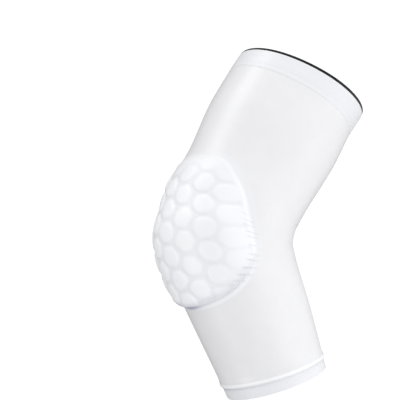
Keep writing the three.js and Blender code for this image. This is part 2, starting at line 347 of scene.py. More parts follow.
@dataclass(frozen=True)
class StretchKnit:
    """Polyester and elastane jersey, knitted fine and heat set: a smooth white face with a soft silky sheen.

    The loops are 0.55 mm apart, too fine to show beyond arm's length, so a slack long-wave unevenness of the cloth
    is laid under them.
    """

    name: str
    colour: str = "f1f1f2"
    shade: str = "ebebed"
    roughness: float = 0.33
    gloss: float = 0.9
    sheen: float = 0.03
    wale_mm: float = 0.55
    relief_mm: float = 0.05
    patch_mm: float = 14.0
    rim_colour: str | None = None
    # Painted shade: the blue-grey that the cloth is darkened toward in grooves, creases and the shadow below the
    # pad's foot.
    painted_shade_colour: str = "a9aebf"

    def material(self) -> bpy.types.Material:
        """Builds the knit."""
        material, tree = new_material(self.name)
        relief = add_node(
            tree, "ShaderNodeBump", None, Strength=0.5, Distance=self.relief_mm * MM, Height=self._loops(tree)
        )
        shader = add_node(
            tree,
            "ShaderNodeBsdfPrincipled",
            None,
            Base_Color=self._tint(tree),
            Roughness=self.roughness,
            Specular_IOR_Level=self.gloss,
            Sheen_Weight=self.sheen,
            Sheen_Roughness=0.45,
            Normal=relief.outputs["Normal"],
        )
        add_node(tree, "ShaderNodeOutputMaterial", None, Surface=shader.outputs["BSDF"])
        return material

    def _loops(self, tree: bpy.types.NodeTree) -> bpy.types.NodeSocket:
        """Lays the knit's loops: ribs along the cloth, crossed by courses that lean with them.

        Args:
            tree: The material's node tree.

        Returns:
            The loops' height, from 0 to 1.
        """
        turn = math.pi / (self.wale_mm * MM)
        place = add_node(tree, "ShaderNodeUVMap", {"uv_map": "cloth"}).outputs["UV"]
        loops = add_node(tree, "ShaderNodeMapping", None, Vector=place, Scale=(turn, 0.8 * turn, 1.0))
        split = add_node(tree, "ShaderNodeSeparateXYZ", None, Vector=loops.outputs["Vector"])
        ribs = add_node(tree, "ShaderNodeMath", {"operation": "SINE"}, in_0=split.outputs["X"])
        ribs = add_node(tree, "ShaderNodeMath", {"operation": "ABSOLUTE"}, in_0=ribs.outputs[0])
        lean = {"in_0": ribs.outputs[0], "in_1": 0.9, "in_2": split.outputs["Y"]}
        courses = add_node(tree, "ShaderNodeMath", {"operation": "MULTIPLY_ADD"}, **lean)
        courses = add_node(tree, "ShaderNodeMath", {"operation": "SINE"}, in_0=courses.outputs[0])
        courses = add_node(tree, "ShaderNodeMath", {"operation": "ABSOLUTE"}, in_0=courses.outputs[0])
        crossed = {"in_0": ribs.outputs[0], "in_1": courses.outputs[0]}
        return add_node(tree, "ShaderNodeMath", {"operation": "MULTIPLY"}, **crossed).outputs[0]

    def _tint(self, tree: bpy.types.NodeTree) -> bpy.types.NodeSocket:
        """Lays the knit's colour in soft patches.

        With a rim colour, a second UV map gives two values: the first tells how much of the knit's own colour shows
        over the rim colour, which on the lower hem's ridge is a painted highlight, and the second how much painted
        shade darkens it.

        Args:
            tree: The material's node tree.

        Returns:
            The colour.
        """
        blend = {"data_type": "RGBA"}
        patches = add_node(
            tree,
            "ShaderNodeTexNoise",
            None,
            Vector=add_node(tree, "ShaderNodeTexCoord").outputs["Object"],
            Scale=1 / (self.patch_mm * MM),
            Detail=3.0,
            Roughness=0.55,
        )
        own = {"Factor": patches.outputs["Fac"], "in_6": linear(self.shade), "in_7": linear(self.colour)}
        tint = add_node(tree, "ShaderNodeMix", blend, **own).outputs[2]
        if not self.rim_colour:
            return tint
        # Second UV map: the share of the own colour over the rim colour, a painted highlight on the lower hem's
        # ridge, and the painted shade.
        press = add_node(tree, "ShaderNodeUVMap", {"uv_map": "press"}).outputs["UV"]
        press = add_node(tree, "ShaderNodeSeparateXYZ", None, Vector=press)
        shown = {"Factor": press.outputs["X"], "in_6": linear(self.rim_colour), "in_7": tint}
        tint = add_node(tree, "ShaderNodeMix", blend, **shown).outputs[2]
        # Painted shade: mixes toward the blue-grey by the second value.
        pressed = {"Factor": press.outputs["Y"], "in_6": tint, "in_7": linear(self.painted_shade_colour)}
        return add_node(tree, "ShaderNodeMix", blend, **pressed).outputs[2]


@dataclass(frozen=True)
class WovenElastic:
    """Black woven elastic tape: rubber cores under polyester, ribbed along its length, dull and slightly furry."""

    name: str = "black_woven_elastic"
    colour: str = "141517"
    roughness: float = 0.62
    rib_mm: float = 0.9

    def material(self) -> bpy.types.Material:
        """Builds the elastic."""
        material, tree = new_material(self.name)
        place = add_node(tree, "ShaderNodeUVMap", {"uv_map": "cloth"}).outputs["UV"]
        split = add_node(tree, "ShaderNodeSeparateXYZ", None, Vector=place)
        turn = math.pi / (self.rib_mm * MM)
        ribs = add_node(tree, "ShaderNodeMath", {"operation": "MULTIPLY"}, in_0=split.outputs["Y"], in_1=turn)
        ribs = add_node(tree, "ShaderNodeMath", {"operation": "SINE"}, in_0=ribs.outputs[0])
        picks = add_node(tree, "ShaderNodeMath", {"operation": "MULTIPLY"}, in_0=split.outputs["X"], in_1=2 * turn)
        picks = add_node(tree, "ShaderNodeMath", {"operation": "SINE"}, in_0=picks.outputs[0])
        crossed = {"in_0": ribs.outputs[0], "in_1": picks.outputs[0]}
        weave = add_node(tree, "ShaderNodeMath", {"operation": "MULTIPLY"}, **crossed)
        relief = add_node(tree, "ShaderNodeBump", None, Strength=0.7, Distance=0.15 * MM, Height=weave.outputs[0])
        shader = add_node(
            tree,
            "ShaderNodeBsdfPrincipled",
            None,
            Base_Color=linear(self.colour),
            Roughness=self.roughness,
            Sheen_Weight=0.2,
            Normal=relief.outputs["Normal"],
        )
        add_node(tree, "ShaderNodeOutputMaterial", None, Surface=shader.outputs["BSDF"])
        return material


@dataclass(frozen=True)
class SpunThread:
    """White polyester sewing thread, three plies twisted: a brighter, glossier line than the knit it lies on."""

    name: str = "white_sewing_thread"
    colour: str = "f1f1f4"
    roughness: float = 0.4
    ply_mm: float = 0.5

    def material(self) -> bpy.types.Material:
        """Builds the thread."""
        material, tree = new_material(self.name)
        place = add_node(tree, "ShaderNodeTexCoord").outputs["Object"]
        plies = add_node(
            tree,
            "ShaderNodeTexWave",
            {"wave_type": "BANDS", "bands_direction": "DIAGONAL"},
            Vector=place,
            Scale=1 / (self.ply_mm * MM) / 20,
        )
        height = plies.outputs["Fac"]
        relief = add_node(tree, "ShaderNodeBump", None, Strength=0.4, Distance=0.05 * MM, Height=height)
        shader = add_node(
            tree,
            "ShaderNodeBsdfPrincipled",
            None,
            Base_Color=linear(self.colour),
            Roughness=self.roughness,
            Normal=relief.outputs["Normal"],
        )
        add_node(tree, "ShaderNodeOutputMaterial", None, Surface=shader.outputs["BSDF"])
        return material


@dataclass(frozen=True)
class StudioPaper:
    """Seamless white paper, lit on its own and well over the sleeve, so that it reads as plain white."""

    name: str = "seamless_paper"
    colour: str = "ffffff"
    glow: float = 1.1

    def material(self) -> bpy.types.Material:
        """Builds the paper."""
        material, tree = new_material(self.name)
        shader = add_node(
            tree,
            "ShaderNodeBsdfPrincipled",
            None,
            Base_Color=linear("101010"),
            Roughness=1.0,
            Specular_IOR_Level=0.0,
            Emission_Color=linear(self.colour),
            Emission_Strength=self.glow,
        )
        add_node(tree, "ShaderNodeOutputMaterial", None, Surface=shader.outputs["BSDF"])
        return material


# Mesh helpers


Pair = tuple[float, float]
Place = Callable[[float, float], tuple[Vector, Pair] | tuple[Vector, Pair, Pair]]


def mapped_grid(columns: int, rows: int, place: Place) -> bmesh.types.BMesh:
    """Lays a flat grid over a surface and keeps each corner's cloth coordinates, and its painted light if given, as
    UVs.

    Args:
        columns: Faces across.
        rows: Faces along.
        place: Gives a point, its cloth coordinates and perhaps its painted highlight and painted shade, for shares
            from
        0 to 1 across and along.

    Returns:
        The new mesh, its rims not joined.
    """
    mesh = bmesh.new()
    bmesh.ops.create_grid(mesh, x_segments=columns, y_segments=rows, size=0.5)
    cloth = mesh.loops.layers.uv.new("cloth")
    placed = {vert: place(vert.co.x + 0.5, vert.co.y + 0.5) for vert in mesh.verts}
    layers = [cloth]
    if len(next(iter(placed.values()))) > 2:
        layers.append(mesh.loops.layers.uv.new("press"))
    for face in mesh.faces:
        face.smooth = True
        for loop in face.loops:
            for layer, value in zip(layers, placed[loop.vert][1:]):
                loop[layer].uv = value
    for vert, values in placed.items():
        vert.co = values[0]
    return mesh


def join_rims(mesh: bmesh.types.BMesh) -> None:
    """Joins the rims of a grid that meet, and turns its faces out."""
    bmesh.ops.remove_doubles(mesh, verts=mesh.verts, dist=1e-7)
    bmesh.ops.recalc_face_normals(mesh, faces=mesh.faces)


def crisp_corners(mesh: bmesh.types.BMesh, turn: float = math.radians(50)) -> None:
    """Keeps the shading crisp at sharp edges, such as a cut edge of cloth.

    Args:
        mesh: The mesh.
        turn: Angle that an edge has to turn by.
    """
    for edge in mesh.edges:
        if edge.is_manifold and edge.calc_face_angle() > turn:
            edge.smooth = False


def finish_piece(mesh: bmesh.types.BMesh, name: str, material: bpy.types.Material) -> bpy.types.Object:
    """Turns a bmesh into an object with one material, at the origin.

    Args:
        mesh: The mesh, which is freed.
        name: The piece's name.
        material: Its finish.

    Returns:
        The object, linked to the scene.
    """
    data = bpy.data.meshes.new(name)
    mesh.to_mesh(data)
    mesh.free()
    data.materials.append(material)
    piece = bpy.data.objects.new(name, data)
    bpy.context.scene.collection.objects.link(piece)
    LOG.info("%s: %d faces", name, len(data.polygons))
    return piece


def closed_curve(points: list[Vector], count: int) -> list[Vector]:
    """Closed smooth curve through points.

    Args:
        points: The points, in order round the curve.
        count: How many points to give back for each stretch.

    Returns:
        Points of the curve.
    """
    total = len(points)
    curve = []
    for i in range(total):
        a, b, c, d = (points[(i + k) % total] for k in (-1, 0, 1, 2))
        leaving, arriving = (c - a) / 2, (d - b) / 2
        for k in range(count):
            t = k / count
            curve.append(
                b * (2 * t**3 - 3 * t**2 + 1)
                + leaving * (t**3 - 2 * t**2 + t)
                + c * (3 * t**2 - 2 * t**3)
                + arriving * (t**3 - t**2)
            )
    return curve


def along_outline(outline: list[Vector], share: float) -> tuple[Vector, int, float]:
    """Finds a place on a closed outline.

    Args:
        outline: Its points, in order.
        share: Share of the points passed, 1 being the first point again.

    Returns:
        The place, the number of the point before it, and how far on it is toward the next point, from 0 to 1.
    """
    at = (share % 1.0) * len(outline)
    i = int(at) % len(outline)
    part = at - int(at)
    return outline[i].lerp(outline[(i + 1) % len(outline)], part), i, part


# Pieces


@dataclass
class SleeveBody:
    """The knit tube, one wall, drawn in a little at its seams."""

    columns: int = 240
    rows: int = 168
    cut_width: float = 262 * MM
    cut_length: float = 240 * MM
    upper_dip: float = 0.15 * MM
    lower_rise: float = 0.55 * MM
    seam_reach: float = 4.5 * MM
    tuck: float = 0.25 * MM

    def relief(self, run: float, angle: float) -> float:
        """Height over the plain tube: down into the stitched groove above, up to the rolled ridge below.

        Args:
            run: Distance along the centreline, the lower seam taken as level.
            angle: Turn round the tube. The groove above is deepest at the crook.

        Returns:
            The height.
        """
        dip = self.upper_dip * mix(0.2, 1.4, crook_share(angle) ** 3)
        height = -dip * smooth_step(1 - (FORM.upper_seam - run) / (0.5 * self.seam_reach))
        return height + self.lower_rise * smooth_step(1 - (run + FORM.lower_seam) / self.seam_reach)

    def build(self, finish: StretchKnit) -> bpy.types.Object:
        """Builds the tube and gives it its wall.

        Args:
            finish: The knit.

        Returns:
            The piece.
        """

        def place(across: float, along: float) -> tuple[Vector, Pair]:
            """Point and cloth coordinates for shares round the tube and up it."""
            angle = across * FULL_TURN
            low = -FORM.lower_seam - self.tuck + lower_seam_lean(angle)
            run = mix(low, FORM.upper_seam + self.tuck, along)
            level = run - lower_seam_lean(angle) * smooth_step(-run / FORM.lower_seam)
            return FORM.point(run, angle, self.relief(level, angle)), (across * WORN_GIRTH, run)

        mesh = mapped_grid(self.columns, self.rows, place)
        join_rims(mesh)
        bmesh.ops.solidify(mesh, geom=mesh.faces, thickness=FORM.knit_wall)
        crisp_corners(mesh)
        piece = finish_piece(mesh, "knit_tube", finish.material())
        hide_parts("sleeve_body")
        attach(piece, BODY)
        return piece


class Mouth(Enum):
    """Which mouth of the sleeve a hem closes off, as the sign of its run."""

    UPPER = 1
    LOWER = -1


@dataclass
class FoldedHem:
    """A folded edge: its outer leaf in line with the tube and its inner leaf lapped under the tube's end."""

    name: str
    node: str
    mouth: Mouth
    height: float
    proud: float
    start_out: float
    ridge_proud: float
    needle_rows: tuple[float, ...]
    ridge_height: float = 2.0 * MM
    lap: float = 4 * MM
    columns: int = 420
    rows: int = 68
    pucker: float = 0.06 * MM
    pucker_pitch: float = 3.1 * MM
    pucker_reach: float = 2.2 * MM
    groove: float = 0.2 * MM
    groove_width: float = 0.7 * MM
    tube_radius: float = 50 * MM

    @property
    def seam(self) -> float:
        """Run of the seam that the hem starts from, taken as positive."""
        return FORM.upper_seam if self.mouth is Mouth.UPPER else FORM.lower_seam

    def profile(self) -> list[Vector]:
        """Closed outline of the hem's cut edge: distance from the seam, and distance out from the cloth's face."""
        wall, gap = FORM.knit_wall, FORM.clearance
        inner = -2 * wall - gap
        roll = wall * 0.6
        ridge = self.ridge_height
        corners = [
            (0.0, self.start_out),
            (ridge * 0.3, mix(self.start_out, self.ridge_proud, 0.8)),
            (ridge * 0.6, self.ridge_proud),
            (ridge * 0.9, mix(self.proud, self.ridge_proud, 0.7)),
            (ridge * 1.12, self.proud - 0.5 * MM * (self.ridge_proud > self.proud)),
            (ridge * 1.7, self.proud),
            (self.height * 0.6, self.proud),
            (self.height - roll, self.proud),
            (self.height - roll * 0.25, self.proud - roll * 0.35),
            (self.height, self.proud - roll),
            (self.height, inner + roll),
            (self.height - roll * 0.3, inner + roll * 0.3),
            (self.height - roll, inner),
            (self.height * 0.4, inner),
            (-self.lap, inner),
            (-self.lap, inner + wall),
            (0.0, inner + wall),
        ]
        return closed_curve([Vector((along, out, 0)) for along, out in corners], 8)

    def relief(self, along: float, out: float, turn: float) -> float:
        """Stitch grooves and fine puckers on the hem's outer leaf.

        Args:
            along: Distance from the seam.
            out: Distance out from the cloth's face, which tells the outer leaf.
            turn: Angle round the sleeve.

        Returns:
            Height to add.
        """
        if out < -FORM.knit_wall * 0.6:
            return 0.0
        girth = turn * self.tube_radius
        wander = 1.3 * noise.noise(Vector((math.cos(turn) * 6, math.sin(turn) * 6, self.mouth.value)))
        ripple = math.sin(FULL_TURN * girth / self.pucker_pitch + wander)
        near = crook_share(turn)
        height = 0.3 * MM * near * self.grooved(along)
        if self.mouth is Mouth.UPPER:
            height += 0.12 * MM * (1 - 2.2 * near**3) * bump(along, 1.0 * MM)
        for row in self.needle_rows:
            height -= self.groove * bump(along - row, self.groove_width)
            height += self.pucker * ripple * bump(along - row, self.pucker_reach)
        return height

    def grooved(self, along: float) -> float:
        """How much of the groove under the ridge is there, from 0 to 1. A hem without a ridge has none."""
        return bump(along - 1.2 * self.ridge_height, 0.8 * MM) if self.ridge_proud > self.proud else 0.0

    def press(self, along: float, out: float, turn: float) -> tuple[float, float]:
        """Painted highlight on the lower hem's ridge and painted shade in the groove under it.

        The highlight is how much of the knit's own whiter colour shows over the rim colour.

        Args:
            along: Distance from the seam.
            out: Distance out from the cloth's face.
            turn: Angle round the sleeve.

        Returns:
            Both, from 0 to 1.
        """
        if self.ridge_proud <= self.proud or out < -FORM.knit_wall:
            return 0.0, 0.0
        # Painted highlight along the ridge, and painted shade in the groove under it that fades toward the crook.
        rolled = bump(along - 0.44 * self.ridge_height, 1.15 * MM)
        return rolled, 0.36 * (1 - crook_share(turn)) * self.grooved(along)

    def build(self, finish: StretchKnit) -> bpy.types.Object:
        """Sweeps the folded edge round the sleeve.

        Args:
            finish: The hem's knit.

        Returns:
            The piece.
        """
        profile = self.profile()
        lengths = [0.0]
        for i, corner in enumerate(profile):
            lengths.append(lengths[-1] + (profile[(i + 1) % len(profile)] - corner).length)

        def place(across: float, along: float) -> tuple[Vector, Pair, Pair]:
            """Point, cloth coordinates and press for shares round the sleeve and along the outline."""
            corner, i, part = along_outline(profile, along)
            turn = (across % 1.0) * FULL_TURN
            out = corner.y + self.relief(corner.x, corner.y, turn)
            run = self.mouth.value * (self.seam + corner.x)
            if self.mouth is Mouth.LOWER:
                run += lower_seam_lean(turn) * min(1 - corner.x / self.height, 1.0)
            else:
                run += rim_lift(turn) * max(corner.x / self.height, 0.0)
            cloth = (across * WORN_GIRTH, mix(lengths[i], lengths[i + 1], part))
            return FORM.point(run, turn, out), cloth, self.press(corner.x, corner.y, turn)

        mesh = mapped_grid(self.columns, self.rows, place)
        join_rims(mesh)
        crisp_corners(mesh, math.radians(65))
        piece = finish_piece(mesh, self.name, finish.material())
        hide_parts(self.node)
        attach(piece, BODY)
        return piece


@dataclass
class GripBand:
    """Elastic strip against the upper hem's inner leaf, its edge turned out over the rim."""

    wall: float = 0.9 * MM
    height: float = 14 * MM
    lip_inset: float = 0.2 * MM
    hem_proud: float = 0.3 * MM
    crook_rise: float = 0.8 * MM
    columns: int = 360
    rows: int = 60

    def profile(self) -> list[Vector]:
        """Closed outline of the band's cut: distance below the rim, negative, and distance out."""
        back = -2 * FORM.knit_wall - 2 * FORM.clearance
        face = self.hem_proud - self.lip_inset
        lip = FORM.grip_lip
        corners = [
            (-self.height, back),
            (-self.height * 0.5, back),
            (-lip, back),
            (-lip, face - lip * 0.3),
            (-lip * 0.85, face),
            (-lip * 0.4, face),
            (-lip * 0.1, face - lip * 0.15),
            (0.0, face - lip * 0.5),
            (0.0, back - self.wall * 0.3),
            (-self.wall * 0.3, back - self.wall * 0.85),
            (-self.wall, back - self.wall),
            (-self.height * 0.5, back - self.wall),
            (-self.height, back - self.wall),
        ]
        return closed_curve([Vector((along, out, 0)) for along, out in corners], 8)

    def build(self, finish: WovenElastic) -> bpy.types.Object:
        """Sweeps the strip round the rim.

        Args:
            finish: The elastic.

        Returns:
            The piece.
        """
        profile = self.profile()

        def place(across: float, along: float) -> tuple[Vector, Pair]:
            """Point and cloth coordinates for shares round the sleeve and along the outline."""
            corner, _, _ = along_outline(profile, along)
            turn = (across % 1.0) * FULL_TURN
            taller = self.crook_rise * crook_share(turn) * smooth_step(1 + corner.x / FORM.grip_lip)
            run = FORM.upper_length + corner.x + rim_lift(turn) + taller
            return FORM.point(run, turn, corner.y), (across * WORN_GIRTH, corner.x)

        mesh = mapped_grid(self.columns, self.rows, place)
        join_rims(mesh)
        piece = finish_piece(mesh, "elastic_band", finish.material())
        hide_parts("grip_band")
        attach(piece, BODY)
        return piece


@dataclass(frozen=True)
class Gather:
    """One pucker where the pad's side edge draws the knit in.

    along is its place up the pad's edge from the middle, reach how far it runs out past the edge, and depth its
    height, all in millimetres.
    """

    along: float
    reach: float
    depth: float


GATHERS = (
    Gather(19.0, -3.0, 0.25),
    Gather(9.0, 1.0, 0.2),
    Gather(3.4, 3.0, 0.3),
    Gather(-0.6, 3.5, 0.3),
    Gather(-6.8, 8.0, 0.45),
    Gather(-11.2, 3.5, 0.4),
    Gather(-19.1, 2.0, 0.3),
    Gather(-27.5, 7.5, 0.45),
    Gather(-32.3, 9.0, 0.5),
    Gather(-38.5, 9.5, 0.55),
    Gather(-43.7, 8.0, 0.6),
    Gather(-48.0, 3.0, 0.4),
)

# Where a groove all but closes at each side: millimetres round and up from the pad's middle, and its reach.
FADED_GROOVE = (40.5, -42.5, 6.0)

# The pad's outline from its top to its foot, as shares of its half width and half height.
PAD_OUTLINE = (
    (0.00, 1.00),
    (0.32, 1.00),
    (0.60, 0.94),
    (0.78, 0.73),
    (0.92, 0.48),
    (1.00, 0.20),
    (1.04, -0.12),
    (1.02, -0.38),
    (0.84, -0.63),
    (0.57, -0.83),
    (0.28, -0.94),
    (0.00, -0.97),
)


@dataclass
class HoneycombPad:
    """Foam pad over the elbow, faced with the knit and moulded into raised hexagons."""

    width: float = 130 * MM
    height: float = 129 * MM
    foam: float = 5.1 * MM
    drop: float = 8.8 * MM
    offset: float = 2.2 * MM
    turn: float = math.radians(8)
    follow: float = 0.68
    pitch: float = 18.9 * MM
    cell_round: float = 6.5
    cell_rise: float = 0.75 * MM
    cell_crown: float = 0.4 * MM
    cell_wall: float = 3.2 * MM
    cell_reach: float = 9.1 * MM
    skin: float = 0.15 * MM
    skirt: float = 11 * MM
    sunk: float = 0.12 * MM
    foot_ridge: float = 0.35 * MM
    overhang: float = 0.8 * MM
    thin: float = 3.3 * MM
    swell: float = 1.0 * MM
    edge: float = 0.8 * MM
    edge_ramp: float = 3.6 * MM
    side_rise: float = 27 * MM
    foot_roll: float = 8.0 * MM
    foot_depth: float = 0.45 * MM
    # Strengths of the painted shade: in the grooves, on the rolled foot's underside, in its crease, in the puckers'
    # creases, and the shadow painted below the foot, with its direction and spread.
    groove_painted_shade: float = 0.11
    roll_painted_shade: float = 0.3
    crease_painted_shade: float = 0.2
    gather_painted_shade: float = 0.4
    foot_painted_shadow: float = 0.8
    foot_shadow_turn: float = math.radians(103)
    foot_shadow_span: float = math.radians(12)
    segments: int = 280
    foot_rings: int = 7

    def __post_init__(self) -> None:
        """Works out the outline's radius for each direction on the flat."""
        half = Vector((self.width / 2, self.height / 2, 0))
        right = [Vector((a * half.x, b * half.y, 0)) for a, b in PAD_OUTLINE]
        left = [Vector((-p.x, p.y, 0)) for p in reversed(right[1:-1])]
        curve = closed_curve(right + left, 24)
        pairs = sorted((math.atan2(p.y, p.x) % FULL_TURN, p.length) for p in curve)
        pairs = [(pairs[-1][0] - FULL_TURN, pairs[-1][1]), *pairs, (pairs[0][0] + FULL_TURN, pairs[0][1])]
        self._radii = []
        count, k = 720, 0
        for i in range(count):
            angle = i / count * FULL_TURN
            while pairs[k + 1][0] < angle:
                k += 1
            low, high = pairs[k], pairs[k + 1]
            share = (angle - low[0]) / max(high[0] - low[0], 1e-9)
            self._radii.append(mix(low[1], high[1], share))

    def radius(self, direction: float) -> tuple[float, float]:
        """Finds the outline in a direction.

        Args:
            direction: Direction on the flat from the pad's middle.

        Returns:
            Its radius, and the cosine between that direction and the outline's normal.
        """
        count = len(self._radii)
        at = direction % FULL_TURN / FULL_TURN * count
        i = int(at)
        low, high = self._radii[i % count], self._radii[(i + 1) % count]
        radius = mix(low, high, at - i)
        ahead, behind = self._radii[(i + 3) % count], self._radii[(i - 3) % count]
        slope = (ahead - behind) / (6 * FULL_TURN / count)
        return radius, 1 / math.sqrt(1 + (slope / radius) ** 2)

    def place(self, across: float, along: float, out: float) -> Vector:
        """Point of the pad from its place on the flat, its rows spread over the outside of the bend.

        Args:
            across: Distance round the arm from the pad's middle.
            along: Distance up the arm from the pad's middle.
            out: Distance out from the sleeve's face.

        Returns:
            The place in the frame.
        """
        round_arm = self.offset + across * math.cos(self.turn) - along * math.sin(self.turn)
        up = across * math.sin(self.turn) + along * math.cos(self.turn) - self.drop
        angle = round_arm / (ELBOW.width_mm * MM / 2 + FORM.knit_wall)
        depth, _, shift = FORM.section(0.0)
        reach = depth * (1 - self.follow + self.follow * math.cos(angle)) - shift
        spread = (FORM.bend_radius + reach) / FORM.bend_radius
        bent = min(max(up, -FORM.half_arc * spread), FORM.half_arc * spread)
        return FORM.point(bent / spread + up - bent, angle, out)

    def cell(self, across: float, along: float) -> tuple[float, float]:
        """Where a place on the flat lies in its cell.

        The outermost columns' cells run on toward the pad's edge. The highest and lowest rows lie a little toward
        the back.

        Args:
            across: Distance round the arm from the pad's middle.
            along: Distance up the arm from the pad's middle.

        Returns:
            How much of a groove is there, from 0 to 1, and how domed the cell's top is there.
        """
        column = self.pitch * math.sqrt(3) / 2
        outer = 3 * column
        x = across + 3.2 * MM * smooth_step((-along - 38 * MM) / (10 * MM))
        x += 3.6 * MM * smooth_step((along - 8 * MM) / (32 * MM))
        if abs(x) > outer:
            x = math.copysign(outer + (abs(x) - outer) * 0.3, x)
        i = round(x / column)
        nearest = None
        for c in (i - 1, i, i + 1):
            if abs(c) > 3:
                continue
            step = 0.0 if c % 2 == 0 else 0.5
            row = round(along / self.pitch - step) + step
            dx, dy = x - c * column, along - row * self.pitch
            distance = dx * dx + dy * dy
            if nearest is None or distance < nearest[0]:
                nearest = (distance, dx, dy)
        _, dx, dy = nearest
        third = math.radians(30)
        reaches = (
            abs(dy),
            abs(dx * math.cos(third) + dy * math.sin(third)),
            abs(dx * math.cos(third) - dy * math.sin(third)),
        )
        reach = sum(r**self.cell_round for r in reaches) ** (1 / self.cell_round)
        groove = 1 - smooth_step((self.cell_reach - reach) / self.cell_wall)
        return groove, max(1 - (reach / self.cell_reach) ** 2, 0.0)

    def groove_strength(self, across: float, along: float) -> float:
        """How deep the grooves are pressed: full over the elbow, fainter at the sides, none at the top.

        Args:
            across: Distance round the arm from the pad's middle.
            along: Distance up the arm from the pad's middle.

        Returns:
            The strength, from 0 to 1.
        """
        side = smooth_step((abs(across) - 30 * MM) / (18 * MM))
        top = smooth_step((along + 0.3 * max(abs(across) - 15 * MM, 0.0) - 45 * MM) / (16 * MM))
        strength = mix(1.0, 0.55, side) * (1 - top)
        x, y, reach = (size * MM for size in FADED_GROOVE)
        return strength * (1 - 0.8 * bump(math.hypot(abs(across) - x, along - y), reach))

    def gathers(self, across: float, along: float, inset: float) -> float:
        """Puckers at the pad's side edges, those of the left side a little out of step with the right's.

        Args:
            across: Distance round the arm from the pad's middle.
            along: Distance up the arm from the pad's middle.
            inset: Distance in from the pad's outline.

        Returns:
            Their height, negative in a crease.
        """
        height = 0.0
        out, up = -inset / MM, along / MM
        lean = 0.42 if across > 0 else 0.3
        for i, gather in enumerate(GATHERS):
            at = gather.along if across > 0 else gather.along + 2.5 * math.sin(i * 2.4)
            away = up - (at - lean * out)
            if abs(away) > 5 or out > gather.reach + 3 or out < -9:
                continue
            starts = smooth_step((out + 8) / 4)
            ends = 1 - smooth_step((out - gather.reach + 3) / 4)
            crease = 0.3 * bump(away - 1.3, 0.8) - bump(away, 0.6) + 0.3 * bump(away + 1.3, 0.8)
            height += gather.depth * MM * starts * ends * crease
        return height

    def foot_share(self, direction: float) -> float:
        """How much of the rolled foot the pad's edge has in a direction on the flat: all below, none at the sides."""
        return smooth_step(-1.6 * (math.sin(direction) + 0.2))

    def surface(self, across: float, along: float) -> tuple[float, float]:
        """The pad's face over the sleeve.

        At its sides and top the foam starts with a low lip and then swells gently. At its foot it is full at once
        and rolls over.

        Args:
            across: Distance round the arm from the pad's middle.
            along: Distance up the arm from the pad's middle.

        Returns:
            The height, and how much painted shade darkens the facing there, from 0 to 1.
        """
        direction = math.atan2(along, across)
        radius, cosine = self.radius(direction)
        inset = (radius - math.hypot(across, along)) * cosine
        foot = self.foot_share(direction)
        thin = self.thin * smooth_step((along - 2 * MM) / (26 * MM))
        foam = self.foam - thin + self.swell * bump(along + 8 * MM, 20 * MM)
        lip = smooth_step((inset + 0.1 * self.edge_ramp) / self.edge_ramp)
        plain = self.edge * lip + (foam + self.cell_rise - self.edge) * smooth_step(inset / self.side_rise)
        rolled = (foam + self.cell_rise) * math.sqrt(1 - (1 - min(max(inset / self.foot_roll, 0.0), 1.0)) ** 2.4)
        pressed = smooth_step((inset - mix(3 * MM, 1 * MM, foot)) / (4 * MM))
        groove, dome = self.cell(across, along)
        strength = self.groove_strength(across, along) * pressed
        height = self.skin + mix(plain, rolled, foot)
        height += (self.cell_crown * dome - self.cell_rise * groove) * strength
        height += self.foot_ridge * foot * bump(inset + 2.4 * MM, 1.0 * MM)
        gather = self.gathers(across, along, inset) if abs(across) > self.width * 0.3 else 0.0
        height += gather
        fade = smooth_step(-inset / self.reach(direction))
        # Painted shade: darker in the grooves and the puckers' creases, on the underside of the rolled foot and in
        # its crease.
        press = self.groove_painted_shade * groove**1.6 * strength + max(-self.gather_painted_shade * gather / MM, 0.0)
        press += self.roll_painted_shade * foot * bump(inset - 2.2 * MM, 3.0 * MM)
        press += self.crease_painted_shade * foot * bump(inset - 0.2 * MM, 0.9 * MM)
        # Painted shadow: the shadow that the foot casts on the sleeve just below it, to one side of its lowest point.
        deep = bump(direction + self.foot_shadow_turn, self.foot_shadow_span)
        press += self.foot_painted_shadow * deep * bump(inset + 0.8 * MM, 2.4 * MM)
        return mix(height, -self.sunk, fade), min(press, 1.0)

    def covered(self, across: float, along: float) -> float:
        """How much of the facing's own colour shows: less at the top and sides, none past the outline.

        Args:
            across: Distance round the arm from the pad's middle.
            along: Distance up the arm from the pad's middle.

        Returns:
            Its share, from 0 to 1.
        """
        direction = math.atan2(along, across)
        radius, cosine = self.radius(direction)
        foot = self.foot_share(direction)
        past = mix(2.5 * MM, 7 * MM, foot)
        shown = smooth_step(((radius - math.hypot(across, along)) * cosine + past) / mix(3 * MM, 5.5 * MM, foot))
        side = smooth_step((abs(across) - 15 * MM) / (25 * MM))
        return shown * (1 - 0.4 * side) * (1 - 0.5 * smooth_step((along - 32 * MM) / (20 * MM)))

    def overhung(self, flat: Vector) -> Vector:
        """Moves a place near the pad's lower edge out over its foot.

        Args:
            flat: The place on the flat.

        Returns:
            The place it goes to.
        """
        direction = math.atan2(flat.y, flat.x)
        radius, cosine = self.radius(direction)
        inset = (radius - flat.length) * cosine
        foot = self.foot_share(direction)
        moved = self.overhang * foot * smooth_step(inset / (2 * MM)) * (1 - smooth_step((inset - 2 * MM) / (9 * MM)))
        return flat + flat.normalized() * moved if moved else flat

    def reach(self, direction: float) -> float:
        """How far the cloth round the pad reaches past its outline, in a direction on the flat."""
        side = abs(math.cos(direction)) ** 1.5
        return mix(7 * MM, self.skirt, side)

    def flat_place(self, a: float, b: float) -> Vector:
        """Spreads a square over the pad's flat outline and the cloth round it, so that rings of quads become round.

        Args:
            a: Place across the square, from -1 to 1.
            b: Place up the square, from -1 to 1.

        Returns:
            The place on the flat.
        """
        if abs(a) > abs(b):
            share, direction = a, math.pi / 4 * b / a
        elif b != 0:
            share, direction = b, math.pi / 2 - math.pi / 4 * a / b
        else:
            share, direction = 0.0, 0.0
        if share < 0:
            share, direction = -share, direction + math.pi
        radius = share * (self.radius(direction)[0] + self.reach(direction))
        return Vector((radius * math.cos(direction), radius * math.sin(direction), 0))

